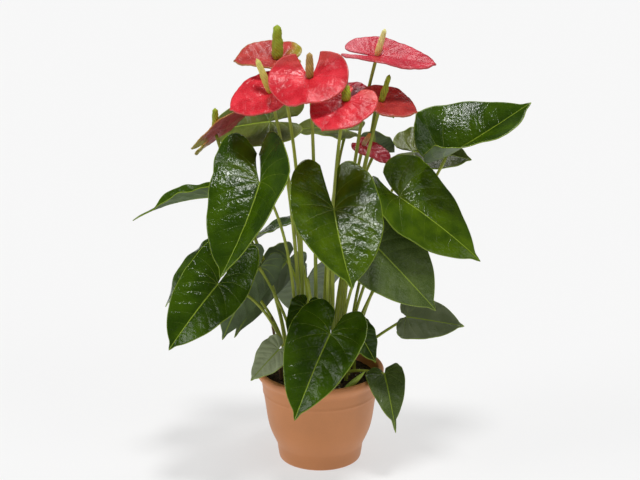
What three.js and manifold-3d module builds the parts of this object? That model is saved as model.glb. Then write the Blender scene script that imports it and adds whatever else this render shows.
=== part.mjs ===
// A potted anthurium: heart-shaped leaves and waxy flowers on thin stalks, in soil in a plastic pot.
// Millimetres and degrees, +Z up. The origin is under the middle of the pot's base, +X is the plant's
// right-hand side and -Y is its front.
import * as THREE from 'three';
import { mergeVertices } from 'three/addons/utils/BufferGeometryUtils.js';
import Module from 'manifold-3d';

const wasm = await Module();
wasm.setup();

// ---- Driving dimensions -------------------------------------------------------------------------
const GAP = 0.3;                     // between pieces that touch

const POT = {
  height: 127,
  rimRadius: 85,
  baseRadius: 55,
  footHeight: 20,                    // nearly upright foot under the belly
  footRadius: 57.5,
  bellyHeight: 84,
  bellyRadius: 74,
  rimBand: 14,                       // height of the rolled band under the lip
  wall: 3,
  floor: 4,
  lip: 7.5,                          // width of the flat lip, inwards from the rim
  sides: 44,
};

const SOIL = { belowRim: 14, sides: 32 };

const STALK = { diameter: 4.4, sides: 6, steps: 9 };
const STEM = { diameter: 5, sides: 6, steps: 9 };

// Where the stalks stand on the soil: the further out a blade hangs, the further out its stalk starts
const CROWN = { inner: 10, share: 0.24 };

const LEAF = { thickness: 2, rings: [0.42, 0.78, 1], sinus: 9 };
const SPATHE = { thickness: 2.2, rings: [0.45, 0.8, 1], sinus: 10 };
const SPADIX = { sides: 8 };

// A rolled young leaf pushing up through the soil, and the dry stump of an old stalk
const SHOOT = { azimuth: -62, radius: 62, length: 38, diameter: 8, heading: 0, pitch: -42 };
const DRY_STALK = { azimuth: -165, radius: 53, length: 88, diameter: 4, heading: -172, pitch: -82 };

// How far the margin of a flat blade is from its junction, as a share of the length from junction to
// tip, every 22.5 degrees from the tip round to the lobe beside the sinus
const MARGIN_STEP = 22.5;
const LEAF_MARGIN = [1, 0.735, 0.6, 0.54, 0.515, 0.525, 0.56, 0.55, 0.3];
const SPATHE_MARGIN = [1, 0.88, 0.78, 0.72, 0.68, 0.66, 0.66, 0.6, 0.3];

// Each blade's junction with its stalk is `azimuth` round the pot, `out` beyond the rim and `up` above
// it. From there the midrib runs at `heading`, `pitch` below the horizontal, and the blade is rolled
// about it. `length` is junction to tip and `width` is across the flat blade. The midrib turns down by
// `droop` towards the tip and by `arch` towards the lobes, each half rises by `fold` at the midrib and
// curls up by a further `cup` at its edge, and the blade twists by `twist` and sways sideways by `sway`.
// `pinch` folds the lobes more and the tip less.
// The stalk arrives rising at `arrive`, and its foot is moved round the crown by `foot`.
const LEAF_HABIT = {
  roll: 0, droop: 20, arch: 12, fold: 12, cup: -8, pinch: 0, twist: 0, sway: 0, lean: 0,
  lobe: 1, arrive: 50, foot: 0, root: 0,
};
const LEAVES = [
  { name: 'leaf_front_left', azimuth: -131, out: 28, up: 279, heading: -108, pitch: 42, roll: -12,
    length: 128, width: 118, droop: 15, fold: 30, cup: -10, arch: 5, sway: 28, lobe: 1.05, foot: -12,
    lean: 22 },
  { name: 'leaf_left_low', azimuth: -152, out: 62, up: 140, heading: -140, pitch: 38, roll: 30,
    length: 104, width: 90, droop: 15, fold: 14, cup: -10, lobe: 1.3, arrive: 10, foot: -3, lean: 6,
    arch: -25 },
  { name: 'leaf_left_side', azimuth: -170, out: 58, up: 243, heading: 180, pitch: 4, roll: -12,
    length: 104, width: 62, droop: 24, fold: 30, cup: 0, arrive: 35, foot: 0, lobe: 0.5, twist: 25 },
  { name: 'leaf_left_hidden', azimuth: 176, out: 66, up: 143, heading: 170, pitch: 40, roll: 20,
    length: 90, width: 80, arrive: 10, foot: -14 },
  { name: 'leaf_left_grey', azimuth: -158, out: 0, up: 151, heading: -170, pitch: 58, roll: -75,
    length: 106, width: 72, lobe: 0.5, arrive: 60, foot: -12 },
  { name: 'leaf_left_inner', azimuth: 144, out: -31, up: 138, heading: -178, pitch: 50, roll: -60,
    length: 126, width: 66, lobe: 0.35 },
  { name: 'leaf_rim_left', azimuth: -134, out: -8, up: 46, heading: -155, pitch: 40, roll: 30, length: 54,
    width: 46, droop: 10, foot: 4, lobe: 0.5, root: 14 },
  { name: 'leaf_front_low', azimuth: -82, out: 4, up: 80, heading: -121, pitch: 40, roll: 15, length: 120,
    width: 100, droop: 20, fold: 18, cup: -6, lobe: 0.65, foot: -12 },
  { name: 'leaf_rim_right', azimuth: -28, out: 10, up: 8, heading: -80, pitch: 25, roll: -10, length: 84,
    width: 50, droop: 75, arch: 0, fold: 12, twist: 30, arrive: -5, foot: -20, lobe: 0.3 },
  { name: 'leaf_low_right_inner', azimuth: -44, out: -19, up: 70, heading: -30, pitch: 50, roll: -30,
    length: 50, width: 42, foot: -8, lobe: 0.5, root: 14 },
  { name: 'leaf_front_centre', azimuth: -79, out: 7, up: 245, heading: -80, pitch: 43, roll: 8,
    length: 108, width: 120, droop: 5, fold: 12, cup: -4, arch: -8, sway: -10, lobe: 1.25, foot: 6 },
  { name: 'leaf_right_centre', azimuth: -38, out: 3, up: 188, heading: -20, pitch: 42, roll: -40,
    length: 114, width: 110, droop: 5, fold: 12, cup: -10, lobe: 0.8, lean: -18 },
  { name: 'leaf_right', azimuth: -6, out: 18, up: 238, heading: -24, pitch: 28, roll: -20, length: 132,
    width: 124, droop: 10, fold: 20, cup: -6, arch: -90, lobe: 0.72, arrive: 70, pinch: 40 },
  { name: 'leaf_top_right', azimuth: 12, out: 82, up: 280, heading: 10, pitch: -28, roll: -17,
    length: 130, width: 136, droop: -8, fold: 45, cup: 0, arch: -70, arrive: 65, foot: 13, pinch: 48,
    lobe: 0.55 },
  { name: 'leaf_right_behind', azimuth: 30, out: 58, up: 276, heading: -5, pitch: 0, roll: -30,
    length: 78, width: 80, lobe: 0.7 },
  { name: 'leaf_right_low', azimuth: -1, out: 30, up: 71, heading: -15, pitch: 3, roll: -45, length: 76,
    width: 66, droop: 8, fold: 12, cup: -10, arch: -60, lobe: 0.3, arrive: 35, foot: -22 },
  { name: 'leaf_right_small', azimuth: 4, out: 31, up: 172, heading: 10, pitch: 40, length: 40,
    width: 36 },
  { name: 'leaf_back_left_top', azimuth: 132, out: 15, up: 316, heading: 170, pitch: 8, roll: 40,
    length: 92, width: 92, fold: 15 },
  { name: 'leaf_back_centre_top', azimuth: 68, out: 7, up: 302, heading: 165, pitch: -5, roll: 10,
    length: 80, width: 75, foot: 15, lobe: 0.5 },
  { name: 'leaf_back_right_top', azimuth: 44, out: 16, up: 276, heading: -95, pitch: -60, length: 50,
    width: 52, foot: -6, lobe: 0.2 },
  { name: 'leaf_back_small', azimuth: 52, out: 36, up: 334, heading: -15, pitch: 25, roll: -20,
    length: 30, width: 34, foot: 12, arrive: 75 },
  { name: 'leaf_low_centre', azimuth: -112, out: -35, up: 100, heading: -120, pitch: 50, roll: 10,
    length: 48, width: 42, sway: 8, arrive: 70, foot: -10, lobe: 0.7 },
  { name: 'leaf_back_left', azimuth: 112, out: 8, up: 174, heading: 160, pitch: 20, length: 90, width: 80,
    lobe: 0.5, foot: -2 },
  { name: 'leaf_back_right', azimuth: 55, out: 35, up: 190, heading: 60, pitch: 42, length: 120,
    width: 110, foot: 0, lobe: 0.8 },
  { name: 'leaf_back_low', azimuth: 100, out: 15, up: 90, heading: 100, pitch: 45, length: 105, width: 95,
    arrive: 30 },
];

// A flower's place and spathe are given as a leaf's are. Its spadix is [length, thickness, heading,
// pitch], and tapers to `taper` of its thickness.
const FLOWER_HABIT = {
  roll: 0, droop: 10, arch: 5, fold: 8, cup: -6, pinch: 0, twist: 0, sway: 0, lean: 0,
  lobe: 1, arrive: 75, foot: 0, root: 0, taper: 0.7,
};
const FLOWERS = [
  { name: 'top_left', azimuth: 168, out: -30, up: 412, heading: 178, pitch: -3, roll: 16, length: 56,
    width: 76, fold: 16, spadix: [44, 14, 90, -87], arch: -25 },
  { name: 'left', azimuth: -147, out: -12, up: 381, heading: -160, pitch: 12, roll: 22, length: 56,
    width: 74, fold: 12, spadix: [47, 9, 170, -68], foot: -10, pinch: 20 },
  { name: 'centre_top', azimuth: -102, out: -24, up: 404, heading: -95, pitch: 15, length: 55, width: 100,
    fold: 16, arch: -80, lobe: 1.2, spadix: [32, 10, 90, -85], pinch: 40, roll: -8 },
  { name: 'top_right', azimuth: 8, out: -13, up: 417, heading: -10, pitch: 2, roll: -12, length: 76,
    width: 76, fold: 17, spadix: [36, 8, 30, -70], pinch: 15 },
  { name: 'centre_front', azimuth: -67, out: -4, up: 379, heading: -122, pitch: 20, length: 60, width: 80,
    fold: 5, cup: -15, spadix: [20, 11, 90, -80], foot: 13, roll: 8, arrive: 64 },
  { name: 'right', azimuth: -15, out: -6, up: 365, heading: -25, pitch: 5, roll: -12, length: 50,
    width: 66, fold: 15, spadix: [36, 8, 30, -70], pinch: 25 },
  { name: 'back', azimuth: 50, out: -33, up: 363, heading: 5, pitch: 0, roll: -15, length: 40, width: 50,
    spadix: [26, 6, 90, -85], foot: 10 },
  { name: 'small_right', azimuth: 28, out: -22, up: 295, heading: -25, pitch: 20, roll: -10, length: 44,
    width: 40, spadix: [19, 6, 30, -55], lobe: 0.5 },
  { name: 'left_low', azimuth: 169, out: 52, up: 312, heading: 20, pitch: -35, roll: 40, length: 66,
    width: 50, spadix: [34, 9, 90, -87], foot: 6 },
];

// ---- Finishes -----------------------------------------------------------------------------------
const finish = (color, roughness) => new THREE.MeshStandardMaterial({ color, roughness, metalness: 0 });
const FINISHES = {
  pot: finish('#b57a52', 0.5),
  soil: finish('#322818', 1),
  leaf: finish('#2a4d14', 0.3),
  youngLeaf: finish('#7f9a3a', 0.4),
  stem: finish('#7d8f38', 0.45),
  spathe: finish('#d63f4c', 0.3),
  spadix: finish('#b9a63c', 0.6),
  dryStalk: finish('#6b4a2c', 0.9),
};

// ---- Solids -------------------------------------------------------------------------------------
const object = new THREE.Group();

function addPiece(name, geometry, material) {
  const piece = new THREE.Mesh(geometry, material);
  piece.name = name;
  object.add(piece);
}

/** The closed mesh as a solid that can be joined and cut. */
function toSolid(geometry) {
  const bare = geometry.clone();
  bare.deleteAttribute('normal');
  bare.deleteAttribute('uv');
  const merged = mergeVertices(bare);
  return new wasm.Manifold(new wasm.Mesh({
    numProp: 3,
    vertProperties: merged.attributes.position.array,
    triVerts: new Uint32Array(merged.index.array),
  }));
}

function toGeometry(solid) {
  const mesh = solid.getMesh();
  const geometry = new THREE.BufferGeometry();
  geometry.setAttribute('position', new THREE.BufferAttribute(mesh.vertProperties, 3));
  geometry.setIndex(new THREE.BufferAttribute(mesh.triVerts, 1));
  return geometry;
}

// ---- Directions and curves ----------------------------------------------------------------------
const radians = THREE.MathUtils.degToRad;

/** The unit vector at a heading round from +X and a pitch below the horizontal. */
function direction(heading, pitch) {
  const level = Math.cos(radians(pitch));
  return new THREE.Vector3(
    Math.cos(radians(heading)) * level, Math.sin(radians(heading)) * level, -Math.sin(radians(pitch)));
}

/** Where a run of a given length ends, forward and up, when it starts at a slope and bends evenly. */
function arc(slope, bend, run) {
  if (Math.abs(bend) < 1e-6) return [run * Math.cos(slope), run * Math.sin(slope)];
  const end = slope + bend * run;
  return [(Math.sin(end) - Math.sin(slope)) / bend, (Math.cos(slope) - Math.cos(end)) / bend];
}

/** A tube along a curve. */
function tube(curve, { diameter, sides, steps }) {
  const section = new THREE.Shape();
  for (let i = 0; i < sides; i += 1) {
    const turn = (2 * Math.PI * i) / sides;
    const corner = [diameter / 2 * Math.cos(turn), diameter / 2 * Math.sin(turn)];
    if (i === 0) section.moveTo(...corner);
    else section.lineTo(...corner);
  }
  return new THREE.ExtrudeGeometry(section, { steps, extrudePath: curve, bevelEnabled: false });
}

// ---- Pot and soil -------------------------------------------------------------------------------
/** Heights and outer radii of the pot, from its base to its lip. */
function potWall() {
  const { height, rimRadius, baseRadius, footHeight, footRadius, bellyHeight, bellyRadius, rimBand } = POT;
  const belly = new THREE.CatmullRomCurve3([
    new THREE.Vector3(footRadius, footHeight, 0),
    new THREE.Vector3((footRadius + bellyRadius) / 2 + 2.5, (footHeight + bellyHeight) / 2 - 5, 0),
    new THREE.Vector3(bellyRadius, bellyHeight, 0),
    new THREE.Vector3((bellyRadius + rimRadius) / 2 - 1, height - rimBand, 0),
  ]);
  return [
    new THREE.Vector2(baseRadius - 2, 0),
    new THREE.Vector2(baseRadius, 2),
    ...belly.getPoints(6).map((point) => new THREE.Vector2(point.x, point.y)),
    new THREE.Vector2(rimRadius, height - 2),
    new THREE.Vector2(rimRadius - 1.5, height),
  ];
}

/** The radius of the pot's inside at a height. */
function potInside(height) {
  const wall = potWall();
  const above = wall.findIndex((point) => point.y >= height);
  const [low, high] = [wall[above - 1], wall[above]];
  const share = (height - low.y) / (high.y - low.y);
  return low.x + (high.x - low.x) * share - POT.wall;
}

function lathe(points, sides) {
  // A lathe turns about Y: quarter a turn stands it up on Z
  return new THREE.LatheGeometry(points, sides).rotateX(Math.PI / 2);
}

function makePot() {
  const inside = potWall().filter((point) => point.y > POT.floor && point.y < POT.height - POT.rimBand)
    .map((point) => new THREE.Vector2(point.x - POT.wall, point.y)).reverse();
  const mouth = POT.rimRadius - POT.lip;
  return lathe([
    new THREE.Vector2(0, 0),
    ...potWall(),
    new THREE.Vector2(mouth, POT.height),
    new THREE.Vector2(mouth - 0.5, POT.height - POT.rimBand),
    ...inside,
    new THREE.Vector2(potInside(POT.floor), POT.floor),
    new THREE.Vector2(0, POT.floor),
  ], POT.sides);
}

const soilTop = POT.height - SOIL.belowRim;

function makeSoil() {
  const foot = POT.floor + GAP;
  // The flats of a many-sided soil stay inside the pot's own flats
  const fit = Math.cos(Math.PI / POT.sides);
  const heights = [foot, POT.footHeight, (POT.footHeight + POT.bellyHeight) / 2, POT.bellyHeight, soilTop];
  const side = heights.map((height) => new THREE.Vector2(potInside(height) * fit - 2 * GAP, height));
  return lathe([new THREE.Vector2(0, foot), ...side, new THREE.Vector2(0, soilTop)], SOIL.sides);
}

addPiece('pot', makePot(), FINISHES.pot);
addPiece('soil', makeSoil(), FINISHES.soil);

// ---- Blades: leaves and spathes -----------------------------------------------------------------
function placeOf({ azimuth, out, up }) {
  const reach = POT.rimRadius + out;
  return new THREE.Vector3(
    reach * Math.cos(radians(azimuth)), reach * Math.sin(radians(azimuth)), POT.height + up);
}

/** The junction of a blade with its stalk, and its directions along, across and up from the blade. */
function bladeFrame(blade) {
  const along = direction(blade.heading, blade.pitch);
  const across = direction(blade.heading - 90, 0).applyAxisAngle(along, radians(-blade.roll));
  const up = new THREE.Vector3().crossVectors(across, along);
  return { at: placeOf(blade), along, across, up };
}

/** The point of a bent blade that lies x across and y along the flat blade. */
function bladePoint(blade, frame, x, y) {
  const towardsTip = y >= 0;
  const fold = blade.fold - blade.pinch * y / blade.length;
  const [reach, rise] = arc(radians(fold), radians(blade.cup) / (blade.width / 2), Math.abs(x));
  const twist = radians(blade.twist) * y / blade.length;
  const side = Math.sign(x) * reach;
  const across = side * Math.cos(twist) - rise * Math.sin(twist)
    + (towardsTip ? blade.sway * (y / blade.length) ** 2 : blade.lean * -2 * y / blade.length);
  const lift = side * Math.sin(twist) + rise * Math.cos(twist);
  const bend = radians(towardsTip ? blade.droop : blade.arch) / blade.length;
  const [forward, drop] = arc(0, -bend, Math.abs(y));
  const slope = bend * y;
  return frame.at.clone()
    .addScaledVector(frame.along, Math.sign(y) * forward + Math.sin(slope) * lift)
    .addScaledVector(frame.up, drop + Math.cos(slope) * lift)
    .addScaledVector(frame.across, across);
}

/** A closed, evenly thick blade: rings of points round the junction, open at the sinus. */
function makeBlade(blade, margin, { thickness, rings, sinus }) {
  const frame = bladeFrame(blade);
  const turns = [];
  for (let turn = MARGIN_STEP - 180; turn < 180; turn += MARGIN_STEP) turns.push(turn);
  turns.unshift(sinus - 180);
  turns.push(180 - sinus);
  const radiusAt = (turn) => margin[Math.round(Math.abs(turn) / MARGIN_STEP)];
  const widest = Math.max(...turns.map((turn) => radiusAt(turn) * Math.sin(radians(turn))));
  const points = [frame.at.clone()];
  for (const ring of rings) {
    for (const turn of turns) {
      const radius = radiusAt(turn) * ring;
      const x = blade.width / 2 * radius * Math.sin(radians(turn)) / widest;
      const y = blade.length * radius * Math.cos(radians(turn));
      points.push(bladePoint(blade, frame, x, y < 0 ? y * blade.lobe : y));
    }
  }

  const count = turns.length;
  const at = (ring, column) => 1 + ring * count + column;
  const faces = [];
  for (let column = 0; column < count - 1; column += 1) {
    faces.push([0, at(0, column + 1), at(0, column)]);
    for (let ring = 0; ring < rings.length - 1; ring += 1) {
      faces.push([at(ring, column), at(ring, column + 1), at(ring + 1, column + 1)]);
      faces.push([at(ring, column), at(ring + 1, column + 1), at(ring + 1, column)]);
    }
  }
  const last = rings.length - 1;
  const edge = [0];
  for (let ring = 0; ring < last; ring += 1) edge.push(at(ring, 0));
  for (let column = 0; column < count; column += 1) edge.push(at(last, column));
  for (let ring = last - 1; ring >= 0; ring -= 1) edge.push(at(ring, count - 1));
  return thicken(points, faces, edge, thickness);
}

/** Gives a sheet of triangles an even thickness, closed all round its edge. */
function thicken(points, faces, edge, thickness) {
  const sheet = new THREE.BufferGeometry().setFromPoints(points);
  sheet.setIndex(faces.flat());
  sheet.computeVertexNormals();
  const normal = (i) => new THREE.Vector3().fromBufferAttribute(sheet.attributes.normal, i);
  const face = (side) => points.map(
    (point, i) => point.clone().addScaledVector(normal(i), side * thickness / 2));
  const under = points.length;
  const all = [...faces, ...faces.map(([a, b, c]) => [c + under, b + under, a + under])];
  edge.forEach((from, i) => {
    const to = edge[(i + 1) % edge.length];
    all.push([to, to + under, from + under], [to, from + under, from]);
  });
  const solid = new THREE.BufferGeometry().setFromPoints([...face(1), ...face(-1)]);
  solid.setIndex(all.flat());
  return solid;
}

// ---- Stalks and stems ---------------------------------------------------------------------------
/** The curve of a stalk from the crown, rising steeply and then leaning over to where it ends. */
function stalkCurve(plant, end, arrival) {
  const reach = Math.hypot(end.x, end.y);
  const azimuth = plant.azimuth + plant.foot;
  const root = direction(azimuth, 0).multiplyScalar(CROWN.inner + CROWN.share * reach + plant.root);
  root.z = soilTop + GAP;
  const span = root.distanceTo(end);
  const rise = root.clone().addScaledVector(new THREE.Vector3(0, 0, 1), span * 0.35);
  const reachBack = end.clone().addScaledVector(arrival, -span * 0.3);
  return new THREE.CubicBezierCurve3(root, rise, reachBack, end);
}

function makeLeaf(leaf) {
  const { at, up } = bladeFrame(leaf);
  const end = at.addScaledVector(up, -LEAF.thickness * 0.4);
  const stalk = tube(stalkCurve(leaf, end, direction(leaf.azimuth, -leaf.arrive)), STALK);
  return toGeometry(toSolid(makeBlade(leaf, LEAF_MARGIN, LEAF)).add(toSolid(stalk)));
}

for (const row of LEAVES) {
  addPiece(row.name, makeLeaf({ ...LEAF_HABIT, ...row }), FINISHES.leaf);
}

// ---- Young shoot and dry stalk ------------------------------------------------------------------
/** A round spindle standing on the soil and leaning over; its profile is [radius, height] shares. */
function makeSpindle({ azimuth, radius, length, diameter, heading, pitch }, profile, sides) {
  const axis = direction(heading, pitch);
  const spindle = new THREE.LatheGeometry(
    profile.map(([across, along]) => new THREE.Vector2(across * diameter / 2, along * length)), sides);
  const turn = new THREE.Quaternion().setFromUnitVectors(new THREE.Vector3(0, 1, 0), axis);
  const foot = direction(azimuth, 0).multiplyScalar(radius);
  foot.z = soilTop + GAP + profile[1][0] * diameter / 2 * Math.cos(radians(pitch));
  return spindle.applyQuaternion(turn).translate(foot.x, foot.y, foot.z);
}

addPiece('young_shoot', makeSpindle(
  SHOOT, [[0, 0], [0.6, 0], [0.9, 0.2], [1, 0.45], [0.7, 0.75], [0, 1]], 8), FINISHES.youngLeaf);
addPiece('dry_stalk', makeSpindle(
  DRY_STALK, [[0, 0], [1, 0], [0.85, 0.9], [0.5, 1], [0, 1]], 6), FINISHES.dryStalk);

// ---- Flowers ------------------------------------------------------------------------------------
function makeStem(flower) {
  const { at, up } = bladeFrame(flower);
  const arrival = direction(flower.azimuth, -flower.arrive);
  const tilt = Math.sin(arrival.angleTo(up)) + Math.sin(radians(Math.abs(flower.fold)));
  const slack = SPATHE.thickness / 2 + GAP + STEM.diameter / 2 * tilt;
  return tube(stalkCurve(flower, at.addScaledVector(up, -slack), arrival), STEM);
}

function makeSpadix(flower) {
  const [length, thickness, heading, pitch] = flower.spadix;
  const { at, up } = bladeFrame(flower);
  const axis = direction(heading, pitch);
  const tilt = axis.angleTo(up);
  const base = thickness / 2;
  const tip = base * flower.taper;
  const heel = base * 0.5;
  const lean = Math.sin(tilt) + Math.sin(radians(Math.abs(flower.fold)));
  const slack = SPATHE.thickness / 2 + GAP + heel * lean;
  const solid = new THREE.LatheGeometry([
    new THREE.Vector2(0, 0),
    new THREE.Vector2(heel, 0),
    new THREE.Vector2(base, length * 0.2),
    new THREE.Vector2((base + tip) / 2, length * 0.65),
    new THREE.Vector2(tip, length * 0.9),
    new THREE.Vector2(tip * 0.55, length * 0.98),
    new THREE.Vector2(0, length),
  ], SPADIX.sides);
  const turn = new THREE.Quaternion().setFromUnitVectors(new THREE.Vector3(0, 1, 0), axis);
  const foot = at.addScaledVector(up, slack);
  return solid.applyQuaternion(turn).translate(foot.x, foot.y, foot.z);
}

for (const row of FLOWERS) {
  const flower = { ...FLOWER_HABIT, ...row };
  addPiece(`spathe_${row.name}`, makeBlade(flower, SPATHE_MARGIN, SPATHE), FINISHES.spathe);
  addPiece(`spadix_${row.name}`, makeSpadix(flower), FINISHES.spadix);
  addPiece(`flower_stem_${row.name}`, makeStem(flower), FINISHES.stem);
}

export default object;
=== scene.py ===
"""A potted anthurium: glossy heart-shaped leaves and waxy red flowers on thin stalks, in a plastic pot.

The tables give millimetres and degrees, as a grower would read them off the plant. Everything else
is in metres, +Z up, with the origin under the middle of the pot, +X to the plant's right-hand side
and -Y to its front.
"""

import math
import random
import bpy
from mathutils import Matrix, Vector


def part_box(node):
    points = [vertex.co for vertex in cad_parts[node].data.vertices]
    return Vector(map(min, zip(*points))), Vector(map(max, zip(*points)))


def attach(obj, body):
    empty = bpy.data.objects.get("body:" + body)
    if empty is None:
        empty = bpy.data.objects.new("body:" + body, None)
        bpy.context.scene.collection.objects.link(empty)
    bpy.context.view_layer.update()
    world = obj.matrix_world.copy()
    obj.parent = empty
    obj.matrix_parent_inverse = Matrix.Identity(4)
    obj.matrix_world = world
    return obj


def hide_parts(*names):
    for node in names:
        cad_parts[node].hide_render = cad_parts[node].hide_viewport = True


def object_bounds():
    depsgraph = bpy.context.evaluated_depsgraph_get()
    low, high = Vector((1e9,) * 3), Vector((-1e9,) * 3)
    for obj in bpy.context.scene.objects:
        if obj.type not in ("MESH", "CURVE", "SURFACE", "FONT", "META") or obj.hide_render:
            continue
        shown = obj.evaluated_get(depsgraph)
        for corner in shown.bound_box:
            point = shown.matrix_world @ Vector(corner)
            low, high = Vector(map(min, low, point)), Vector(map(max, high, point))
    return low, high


bl_info = {
    "name": "Potted Anthurium",
    "version": (1, 0, 0),
    "blender": (4, 5, 0),
    "location": "3D View > Sidebar > Anthurium",
    "description": "Builds the pot, soil, leaves and flowers of a potted anthurium",
    "category": "Object",
}

from dataclasses import dataclass

import bmesh
import bpy
from bpy.props import FloatProperty, FloatVectorProperty, IntProperty, PointerProperty
from mathutils import Matrix, Quaternion, Vector, noise
from mathutils.geometry import interpolate_bezier

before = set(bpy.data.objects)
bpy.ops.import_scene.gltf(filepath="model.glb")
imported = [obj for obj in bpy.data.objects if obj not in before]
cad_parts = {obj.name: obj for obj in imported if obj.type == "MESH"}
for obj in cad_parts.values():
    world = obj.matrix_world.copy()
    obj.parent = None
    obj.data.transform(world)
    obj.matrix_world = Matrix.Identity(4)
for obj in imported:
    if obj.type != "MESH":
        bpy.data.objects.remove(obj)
cad_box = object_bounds()

MM = 0.001
UP = Vector((0, 0, 1))
STRAIGHT = 1e-6  # a bend too small to matter

# ---- The plant's habit --------------------------------------------------------------------------
# Each blade's junction with its stalk is `azimuth` round the pot, `out` beyond the rim and `up` above
# it. From there the midrib runs at `heading`, `pitch` below the horizontal, and the blade is rolled
# about it. `length` is junction to tip and `width` is across the flat blade. The midrib turns down by
# `droop` towards the tip and by `arch` towards the lobes, each half rises by `fold` at the midrib and
# curls up by a further `cup` at its edge, and the blade twists by `twist` and sways sideways by `sway`.
# `pinch` folds the lobes more and the tip less. The lobes are `lobe` times their usual length and lean
# sideways by `lean`. The stalk arrives rising at `arrive`, and its foot is moved round the crown by
# `foot` and outwards by `root`. The thin drip tip is `tip` of the length. The sinus
# between the lobes opens by `sinus` each side, and the lobes `close` over it towards the margin.


@dataclass
class Leaf:
    name: str
    azimuth: float
    out: float
    up: float
    heading: float
    pitch: float
    length: float
    width: float
    roll: float = 0
    droop: float = 20
    arch: float = 12
    fold: float = 12
    cup: float = -8
    pinch: float = 0
    twist: float = 0
    sway: float = 0
    lean: float = 0
    lobe: float = 1
    arrive: float = 50
    foot: float = 0
    root: float = 0
    tip: float = 0.06
    sinus: float = 9
    close: float = 0
    finish: str = "mature"
    crinkle: float = 1


LEAVES = [
    Leaf("leaf_front_left", azimuth=-131, out=28, up=279, heading=-108, pitch=42, length=128, width=118,
         roll=-12, droop=15, arch=5, fold=30, cup=-10, sway=28, lean=22, lobe=1.05, foot=-12, close=1),
    Leaf("leaf_left_low", azimuth=-152, out=62, up=140, heading=-140, pitch=38, length=104, width=90,
         roll=30, droop=15, arch=-25, fold=14, cup=-10, lean=6, lobe=1.3, arrive=10, foot=-3),
    Leaf("leaf_left_side", azimuth=-170, out=58, up=243, heading=180, pitch=4, length=104, width=62,
         roll=-12, droop=24, fold=30, cup=0, twist=25, lobe=0.5, arrive=35, tip=0.28),
    Leaf("leaf_left_hidden", azimuth=176, out=66, up=143, heading=170, pitch=40, length=90, width=80,
         roll=20, arrive=10, foot=-14),
    Leaf("leaf_left_grey", azimuth=-158, out=0, up=151, heading=-170, pitch=58, length=106, width=72,
         roll=-75, lobe=0.5, arrive=60, foot=-12, finish="painted_sheen"),
    Leaf("leaf_left_inner", azimuth=144, out=-31, up=138, heading=-178, pitch=50, length=126, width=66,
         roll=-60, lobe=0.35, finish="painted_sheen"),
    Leaf("leaf_rim_left", azimuth=-134, out=-8, up=46, heading=-155, pitch=40, length=54, width=46,
         roll=30, droop=10, lobe=0.5, foot=4, root=14, finish="grey", crinkle=0.5),
    Leaf("leaf_front_low", azimuth=-82, out=4, up=80, heading=-121, pitch=40, length=120, width=100,
         roll=15, fold=18, cup=-6, lobe=0.65, foot=-12, crinkle=1.6),
    Leaf("leaf_rim_right", azimuth=-28, out=10, up=8, heading=-80, pitch=25, length=84, width=50,
         roll=-10, droop=75, arch=0, twist=30, lobe=0.3, arrive=-5, foot=-20, tip=0.2, finish="satin",
         crinkle=0.5),
    Leaf("leaf_low_right_inner", azimuth=-44, out=-19, up=70, heading=-30, pitch=50, length=50,
         width=42, roll=-30, lobe=0.5, foot=-8, root=14),
    Leaf("leaf_front_centre", azimuth=-79, out=7, up=245, heading=-80, pitch=43, length=108, width=120,
         roll=8, droop=5, arch=-8, cup=-4, sway=-10, lobe=1.25, foot=6, sinus=13, finish="bright",
         crinkle=1.3),
    Leaf("leaf_right_centre", azimuth=-38, out=3, up=188, heading=-20, pitch=42, length=114, width=110,
         roll=-40, droop=5, cup=-10, lean=-18, lobe=0.8, finish="satin", crinkle=0.6),
    Leaf("leaf_right", azimuth=-6, out=18, up=238, heading=-24, pitch=28, length=132, width=124,
         roll=-20, droop=10, arch=-90, fold=20, cup=-6, pinch=40, lobe=0.72, arrive=70, finish="bright",
         crinkle=0.7),
    Leaf("leaf_top_right", azimuth=12, out=82, up=280, heading=10, pitch=-28, length=130, width=136,
         roll=-17, droop=-8, arch=-70, fold=45, cup=0, pinch=48, lobe=0.55, arrive=65, foot=13),
    Leaf("leaf_right_behind", azimuth=30, out=58, up=276, heading=-5, pitch=0, length=78, width=80,
         roll=-30, lobe=0.7, finish="pale", crinkle=0.4),
    Leaf("leaf_right_low", azimuth=-1, out=30, up=71, heading=-15, pitch=3, length=76, width=66,
         roll=-45, droop=8, arch=-60, cup=-10, lobe=0.3, arrive=35, foot=-22, finish="painted_sheen",
         crinkle=1.2),
    Leaf("leaf_right_small", azimuth=4, out=31, up=172, heading=10, pitch=40, length=40, width=36),
    Leaf("leaf_back_left_top", azimuth=132, out=15, up=316, heading=170, pitch=8, length=92, width=92,
         roll=40, fold=15, finish="pale", crinkle=0.6),
    Leaf("leaf_back_centre_top", azimuth=68, out=7, up=302, heading=165, pitch=-5, length=80, width=75,
         roll=10, lobe=0.5, foot=15, finish="pale", crinkle=0.6),
    Leaf("leaf_back_right_top", azimuth=44, out=16, up=276, heading=-95, pitch=-60, length=50, width=52,
         lobe=0.2, foot=-6),
    Leaf("leaf_back_small", azimuth=52, out=36, up=334, heading=-15, pitch=25, length=30, width=34,
         roll=-20, arrive=75, foot=12),
    Leaf("leaf_low_centre", azimuth=-112, out=-35, up=100, heading=-120, pitch=50, length=48, width=42,
         roll=10, sway=8, lobe=0.7, arrive=70, foot=-10),
    Leaf("leaf_back_left", azimuth=112, out=8, up=174, heading=160, pitch=20, length=90, width=80,
         lobe=0.5, foot=-2),
    Leaf("leaf_back_right", azimuth=55, out=35, up=190, heading=60, pitch=42, length=120, width=110,
         lobe=0.8),
    Leaf("leaf_back_low", azimuth=100, out=15, up=90, heading=100, pitch=45, length=105, width=95,
         arrive=30),
]


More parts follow.
